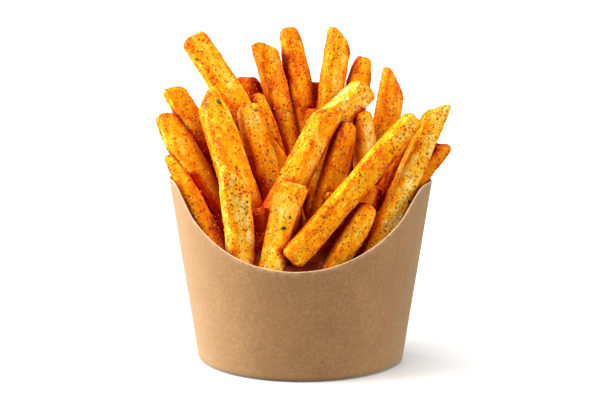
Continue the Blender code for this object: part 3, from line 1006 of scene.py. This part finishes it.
def make_fries(finish):
    """All the fries, those that show first, as three pieces."""
    rng = random.Random(SEED)
    own_rng = random.Random(SEED + 1)
    viewer = (seen(0.0, 0.0, 1.0) - AIM).normalized()
    skins = []
    for name, tip, foot, *shape in SEEN_FRIES:
        skins.append(make_skin(seen(*tip), seen(*foot), (name, *shape), viewer,
                               SEEN_RINGS, rng, own_rng))
    behind = Vector((0.0, 1.0, 0.0))
    for name, tip, foot, *shape in HIDDEN_FRIES:
        looks = [own_rng.uniform(*span) for span in (HIDDEN_TOAST, HIDDEN_DUST, HIDDEN_DUST)]
        skins.append(make_skin(Vector(tip) * MM, Vector(foot) * MM, (name, *shape, 0.0, *looks),
                               behind, HIDDEN_RINGS, rng, own_rng))
    tree = tree_of(skins)
    rays = sky_rays()
    # Shade to paint into the gaps, from how much of the sky other fries hide
    for skin in skins:
        skin.marks["crowded"] = painted_gap_shade(tree, skin, rays)
    third = len(skins) // 3
    heaps = [skins[:third], skins[third:2 * third], skins[2 * third:]]
    titles = ("fries_left", "fries_right", "fries_back")
    return [heap_of(title, heap, finish) for title, heap in zip(titles, heaps)]


def make_core(finish):
    """The fill under the fries, lumpy on top."""
    places = around_carton(CORE_STEPS)
    profile = [CORE_PROFILE[0]]
    for low, high in zip(CORE_PROFILE, CORE_PROFILE[1:]):
        for i in range(1, CORE_ROWS + 1):
            share = i / CORE_ROWS
            profile.append((low[0] + (high[0] - low[0]) * share, low[1] + (high[1] - low[1]) * share))
    profile += CORE_CROWN
    points = []
    for z, inset in profile:
        lump = CORE_LUMP if z > CORE_SMOOTH_TO else 0.0
        for share, front in places:
            point = wall_point(share, z, front, BOARD + GAP + inset)
            rise = lump * noise.noise(point * CORE_LUMPS_PER_METRE)
            points.append(point + Vector((0.0, 0.0, rise)))
    faces = ring_faces(len(profile), len(places)) + end_faces(len(profile), len(places))
    return make_piece("fries_core", points, faces, (finish,))


# Spice

Surface = namedtuple("Surface", "tree points faces areas")


class Bits:
    """Many small bits of one kind, gathered for one mesh."""

    def __init__(self):
        self.points = []
        self.faces = []
        self.tones = []

    def add(self, points, faces, tone):
        start = len(self.points)
        self.points += points
        self.faces += [tuple(start + corner for corner in face) for face in faces]
        self.tones += [tone] * len(points)

    def piece(self, title, finish):
        return make_piece(title, self.points, self.faces, (finish,), {"tone": self.tones})


def surface_of(pieces):
    """The fries' faces as one tree, with the running sum of their areas."""
    points = []
    faces = []
    for piece in pieces:
        start = len(points)
        points += [vert.co.copy() for vert in piece.data.vertices]
        faces += [tuple(start + v for v in face.vertices) for face in piece.data.polygons]
    areas = []
    total = 0.0
    for face in faces:
        a, b, c = (points[v] for v in face[:3])
        total += (b - a).cross(c - a).length
        areas.append(total)
    return Surface(BVHTree.FromPolygons(points, faces), points, faces, areas)


def frame_on(normal, spin):
    """Two directions along a surface, square to each other."""
    first = Matrix.Rotation(spin, 3, normal) @ normal.orthogonal().normalized()
    return first, normal.cross(first)


def add_grain(bits, at, normal, size, rng, tone=PLAIN_TONE):
    """A tiny uneven crumb, half sunk in the skin."""
    first, second = frame_on(normal, rng.uniform(*SPIN))
    points = []
    faces = []
    for high, wide in GRAIN_RINGS:
        for k in range(GRAIN_SIDES):
            a = 2.0 * math.pi * (k + 0.5 * (high > 0)) / GRAIN_SIDES
            r = size * wide * rng.uniform(*GRAIN_UNEVEN)
            points.append(at + first * r * math.cos(a) + second * r * math.sin(a)
                          + normal * size * high)
    points.append(at - normal * size * GRAIN_SUNK)
    points.append(at + normal * size * rng.uniform(*GRAIN_TOP))
    over, foot = GRAIN_SIDES, 2 * GRAIN_SIDES
    for k in range(GRAIN_SIDES):
        j = (k + 1) % GRAIN_SIDES
        faces.append((k, j, over + k))
        faces.append((j, over + j, over + k))
        faces.append((foot, j, k))
        faces.append((over + k, over + j, foot + 1))
    bits.add(points, faces, tone)


def add_flake(bits, at, normal, size, rng):
    """A torn scrap of dried leaf that curls off the skin."""
    first, second = frame_on(normal, rng.uniform(*SPIN))
    curl = rng.uniform(*FLAKE_CURL)
    slim = rng.uniform(*FLAKE_SLIM)
    tone = rng.uniform(*FLAKE_TONE)
    rim = []
    for k in range(FLAKE_SIDES):
        a = 2.0 * math.pi * k / FLAKE_SIDES
        r = size * 0.5 * rng.uniform(*FLAKE_TORN)
        u, v = r * math.cos(a), r * slim * math.sin(a)
        rim.append((u, v, curl * (u * u) / size + FLAKE_LIFT))
    points = []
    for lift in (0.0, FLAKE_THICK):
        points.append(at + normal * (FLAKE_LIFT + lift))
        for u, v, w in rim:
            points.append(at + first * u + second * v + normal * (w + lift))
    faces = []
    over = FLAKE_SIDES + 1
    for k in range(FLAKE_SIDES):
        j = (k + 1) % FLAKE_SIDES
        faces.append((0, 1 + j, 1 + k))
        faces.append((over, over + 1 + k, over + 1 + j))
        faces.append((1 + k, 1 + j, over + 1 + j, over + 1 + k))
    bits.add(points, faces, tone)


def seen_places(surface, spots):
    """Where lines from the viewpoint through spots of the picture meet the fries."""
    eye = seen(0.0, 0.0, VIEW_DISTANCE / MM)
    places = []
    for across, up, size in spots:
        way = (seen(across, up, 0.0) - eye).normalized()
        at, normal, _, _ = surface.tree.ray_cast(eye, way)
        if at is not None:
            places.append((at, normal, size * MM))
    return places


def open_places(surface, count, rng):
    """Random places on the fries, most of which look out of the heap."""
    picked = []
    while len(picked) < count:
        chosen = rng.choices(range(len(surface.faces)), cum_weights=surface.areas)[0]
        a, b, c = (surface.points[v] for v in surface.faces[chosen][:3])
        u, v = rng.random(), rng.random()
        if u + v > 1.0:
            u, v = 1.0 - u, 1.0 - v
        at = a + (b - a) * u + (c - a) * v
        normal = (b - a).cross(c - a).normalized()
        if at.z < SPICE_FROM:
            continue
        is_open = surface.tree.ray_cast(at + normal * OPEN_START, normal)[0] is None
        if is_open or rng.random() < SHELTERED_SHARE:
            picked.append((at, normal))
    return picked


def make_spice(fries):
    """Herb flakes, pepper, and ground spice with crumbs."""
    rng = random.Random(SEED + 2)
    surface = surface_of(fries)
    herbs, peppers, grains = Bits(), Bits(), Bits()
    for at, normal, size in seen_places(surface, HERB_SPOTS):
        add_flake(herbs, at, normal, size, rng)
    for at, normal in open_places(surface, HERBS, rng):
        add_flake(herbs, at, normal, rng.uniform(*HERB_SIZES) * MM, rng)
    for at, normal, size in seen_places(surface, PEPPER_SPOTS):
        add_grain(peppers, at, normal, size, rng)
    for at, normal in open_places(surface, PEPPERS, rng):
        add_grain(peppers, at, normal, rng.uniform(*PEPPER_SIZES) * MM, rng)
    for at, normal in open_places(surface, GRAINS, rng):
        add_grain(grains, at, normal, rng.uniform(*GRAIN_SIZES) * MM, rng, rng.random())
    for at, normal in open_places(surface, CRUMBS, rng):
        add_grain(grains, at, normal, rng.uniform(*CRUMB_SIZES) * MM, rng, rng.uniform(*CRUMB_TONES))
    return [herbs.piece("herb_flakes", dried_herb()),
            peppers.piece("pepper_bits", cracked_pepper()),
            grains.piece("spice_grains", ground_spice())]


# Stage

def make_floor():
    size = 4.0
    corners = [(-size, -size, 0.0), (size, -size, 0.0), (size, size, 0.0), (-size, size, 0.0)]
    floor = make_piece("table", corners, [(0, 1, 2, 3)], (table_top(),))
    floor.visible_diffuse = False
    floor.visible_glossy = False


def make_camera():
    data = bpy.data.cameras.new("camera")
    data.sensor_width = SENSOR
    data.lens = SENSOR * VIEW_DISTANCE / VIEW_WIDTH
    camera = bpy.data.objects.new("camera", data)
    bpy.context.scene.collection.objects.link(camera)
    back = (seen(0.0, 0.0, 1.0) - AIM).normalized()
    camera.location = AIM + back * VIEW_DISTANCE
    camera.rotation_euler = back.to_track_quat("Z", "Y").to_euler()
    bpy.context.scene.camera = camera


def make_light(name, place, size, power, colour):
    data = bpy.data.lights.new(name, "AREA")
    data.shape = "SQUARE"
    data.size = size
    data.energy = power
    data.color = colour
    light = bpy.data.objects.new(name, data)
    light.location = place
    light.rotation_euler = (Vector(place) - AIM).to_track_quat("Z", "Y").to_euler()
    bpy.context.scene.collection.objects.link(light)


def make_overhead(name, place, spread, strength):
    """A wide, even light from one side of the sky, so that the table is pale all over."""
    data = bpy.data.lights.new(name, "SUN")
    data.angle = math.radians(spread)
    data.energy = strength
    light = bpy.data.objects.new(name, data)
    light.rotation_euler = Vector(place).to_track_quat("Z", "Y").to_euler()
    bpy.context.scene.collection.objects.link(light)


def light_stage():
    make_overhead("top diffuser", (-0.10, -0.06, 1.0), 60.0, 3.2)
    make_light("left softbox", (-1.00, -0.14, 0.31), 0.80, 23.5, (1.0, 0.97, 0.93))
    make_light("left rear strip", (-0.82, 0.50, 0.30), 0.40, 5.0, (1.0, 0.98, 0.95))
    make_light("right fill", (1.00, -0.55, 0.35), 0.60, 9.0, (1.0, 0.98, 0.95))
    world = bpy.data.worlds.new("studio")
    world.use_nodes = True
    sky = world.node_tree.nodes["Background"]
    sky.inputs["Color"].default_value = (1.0, 1.0, 1.0, 1.0)
    sky.inputs["Strength"].default_value = 0.27
    bpy.context.scene.world = world
    bpy.context.scene.view_settings.view_transform = "Standard"


# Assembly

make_camera()
make_floor()
light_stage()

carton = make_carton(kraft_board(), cut_board())
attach(carton, "root")
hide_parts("carton")

heaps = make_fries(crisp_potato())
core = make_core(shade_dark_potato())
for piece in heaps + [core]:
    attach(piece, "root")
    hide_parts("fries")

for piece in make_spice(heaps):
    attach(piece, "root")
